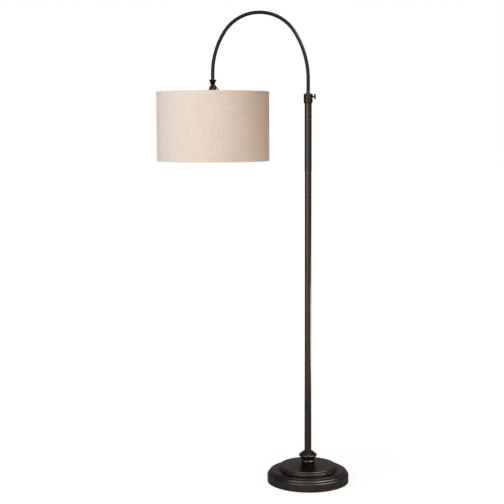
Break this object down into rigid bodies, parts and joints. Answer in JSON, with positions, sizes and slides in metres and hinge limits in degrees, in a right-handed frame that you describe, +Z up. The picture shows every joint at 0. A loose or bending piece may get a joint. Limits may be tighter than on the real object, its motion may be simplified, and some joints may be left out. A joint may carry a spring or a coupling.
{
  "type": "floor lamp",
  "caption": "Floor lamp with a stepped round base, a plain pole and an arched arm that slides and turns in a screw clamp and carries a linen drum shade.",
  "frame": {"origin": "on the floor, on the axis of the pole", "axes": "+Z up along the pole; +X from the shade's axis towards the pole's axis, so that the shade hangs on the -X side and the thumbscrew's head is on the +X side; +Y to the back, where the cord bushing is"},
  "size_m": [0.6834, 0.4, 1.6851],
  "materials": {
    "bronze_paint": "satin dark bronze lacquer",
    "zinc_steel": "zinc plated, dull",
    "cast_iron": "as cast",
    "felt": "pressed felt",
    "black_plastic": "moulded, matt",
    "nylon": "moulded, matt",
    "linen": "plain-woven slubby linen",
    "liner_film": "smooth white film",
    "shell_brass": "drawn, lightly dulled",
    "insulating_card": "pressed card",
    "bulb_aluminium": "pressed, dull",
    "opal_glass": "opal white"
  },
  "bodies": {
    "stand": {"base_pad": "felt", "base_weight": "cast_iron", "base_cover": "bronze_paint", "cord_bushing": "black_plastic", "base_rod": "zinc_steel", "base_washer": "zinc_steel", "base_nut": "zinc_steel", "seat_ring": "bronze_paint", "spindle_knob": "bronze_paint", "pole_foot": "zinc_steel", "pole_lower": "bronze_paint", "pole_middle": "bronze_paint", "pole_upper": "bronze_paint", "pole_couplers": "zinc_steel", "collar": "bronze_paint", "guide_bush": "bronze_paint"},
    "guide": {"arm_guide": "nylon"},
    "arm": {"arm_tube": "bronze_paint", "guide_clips": "zinc_steel", "arm_cup": "bronze_paint", "arm_nipple": "zinc_steel", "nipple_nut": "zinc_steel", "shade_spider": "bronze_paint", "shade_top_ring": "zinc_steel", "shade_bottom_ring": "zinc_steel", "shade_liner": "liner_film", "shade_cloth": "linen", "top_hem": "linen", "bottom_hem": "linen", "socket_cap": "bronze_paint", "socket_shell": "shell_brass", "socket_sleeve": "insulating_card", "socket_body": "black_plastic", "screw_shell": "shell_brass", "centre_contact": "shell_brass", "bulb_base": "bulb_aluminium", "bulb_glass": "opal_glass"},
    "clamp": {"clamp_pad": "black_plastic"},
    "screw": {"thumbscrew": "bronze_paint"},
    "key": {"switch_key": "black_plastic"}
  },
  "joints": [
    {"name": "arm_slide", "type": "slide", "parent": "stand", "child": "guide", "axis": [0, 0, 1], "range_m": [-0.04, 0.25]},
    {"name": "arm_turn", "type": "hinge", "parent": "guide", "child": "arm", "pos_m": [0, 0, 1.09], "axis": [0, 0, 1], "range_deg": [-180, 180]},
    {"name": "clamp_slide", "type": "slide", "parent": "stand", "child": "clamp", "axis": [1, 0, 0], "range_m": [0, 0.0016]},
    {"name": "thumbscrew_turn", "type": "hinge", "parent": "clamp", "child": "screw", "pos_m": [0.016, 0, 1.38403], "axis": [1, 0, 0], "range_deg": [0, 720]},
    {"name": "switch_turn", "type": "hinge", "parent": "arm", "child": "key", "pos_m": [-0.337, -0.019, 1.39633], "axis": [0, -1, 0], "continuous": true}
  ],
  "couplings": [
    {"joint": "thumbscrew_turn", "follows": "clamp_slide", "rad_per_m": 7854}
  ]
}
